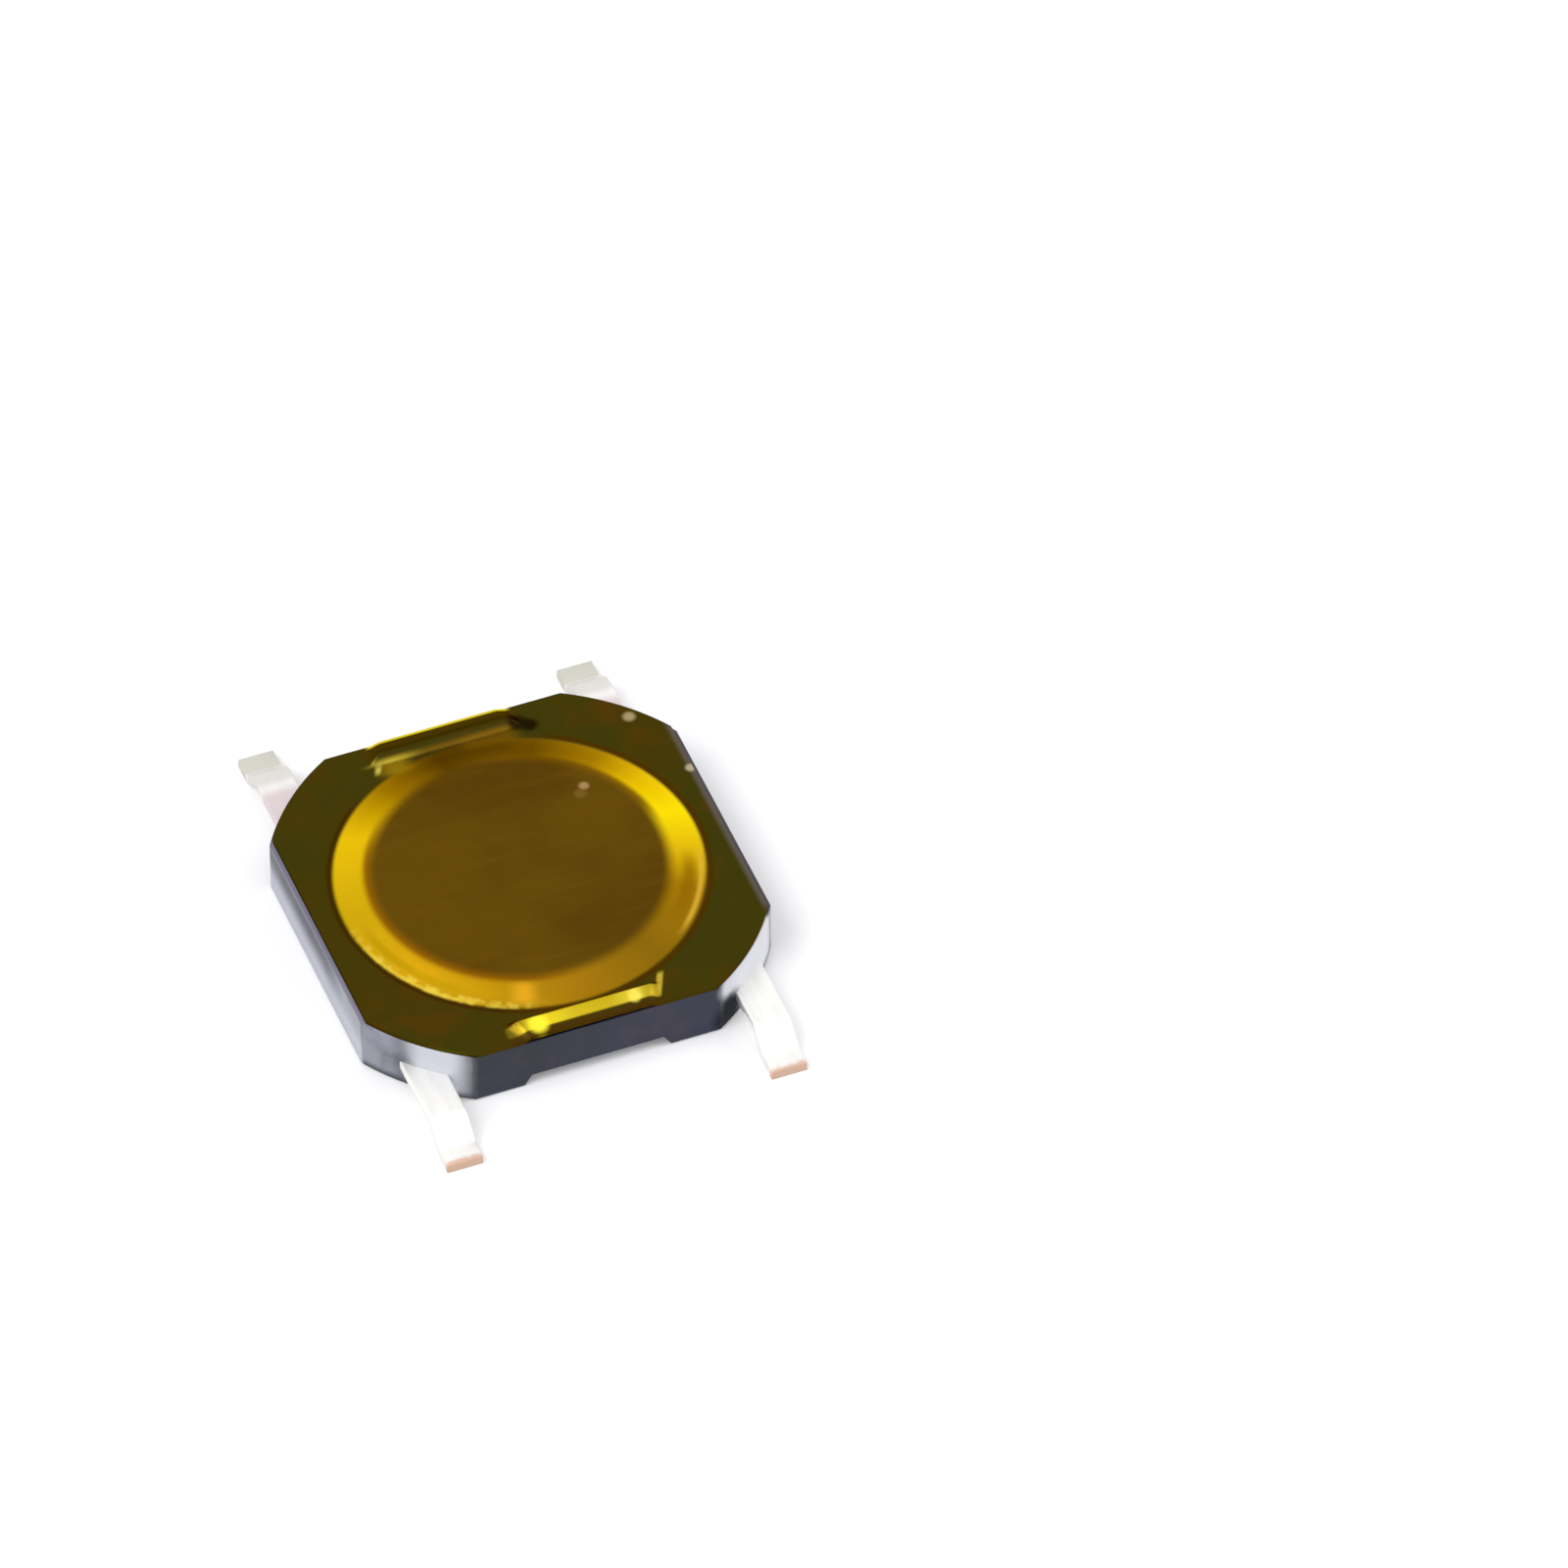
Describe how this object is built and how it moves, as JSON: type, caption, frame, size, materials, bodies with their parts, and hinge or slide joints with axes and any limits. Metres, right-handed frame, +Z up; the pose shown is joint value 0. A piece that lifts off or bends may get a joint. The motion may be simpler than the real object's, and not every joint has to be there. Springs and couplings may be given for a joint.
{
  "type": "surface mount tactile push button switch",
  "caption": "Low square surface-mount tactile switch: amber film over a round snap dome, black housing with rounded corners, gull-wing leads.",
  "frame": {"origin": "on the board, under the middle of the housing", "axes": "+Z up from the board to the film that is pressed, +Y along the leads, +X across them"},
  "size_m": [0.0048, 0.0066, 0.0008],
  "materials": {
    "housing_plastic": "moulded black plastic, low sheen",
    "plated_contact": "silver plated, bare metal at the cut ends",
    "dome_steel": "bright rolled spring steel",
    "amber_film": "glossy amber film"
  },
  "bodies": {
    "base": {"housing": "housing_plastic", "outer_contact_frame": "plated_contact", "centre_contact_frame": "plated_contact", "cover_film": "amber_film"},
    "button": {"snap_dome": "dome_steel"}
  },
  "joints": [
    {"name": "press", "type": "slide", "parent": "base", "child": "button", "axis": [0, 0, -1], "range_m": [0, 0.00025], "stiffness_N_per_m": 7200, "deforming": ["snap_dome", "cover_film"]}
  ]
}
